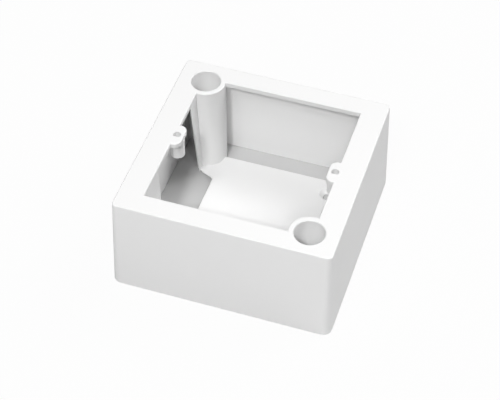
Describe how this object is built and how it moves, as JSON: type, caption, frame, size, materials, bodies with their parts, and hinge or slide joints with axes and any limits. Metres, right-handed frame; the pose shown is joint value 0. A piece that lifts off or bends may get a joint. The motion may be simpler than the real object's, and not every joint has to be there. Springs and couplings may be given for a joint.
{
  "type": "surface mount box",
  "caption": "Square moulded box that carries a wall outlet on top of a wall, with a framed opening, screw ears and round corner wells for the wall screws.",
  "frame": {"origin": "middle of the open back, on the plane that meets the wall", "axes": "+Z out of the wall, towards the outlet; +X towards the side of one screw ear; the left back well is at -X +Y"},
  "size_m": [0.0832, 0.0832, 0.04],
  "materials": {
    "box_plastic": "satin"
  },
  "bodies": {
    "root": {"surface_mount_box": "box_plastic"}
  },
  "joints": []
}
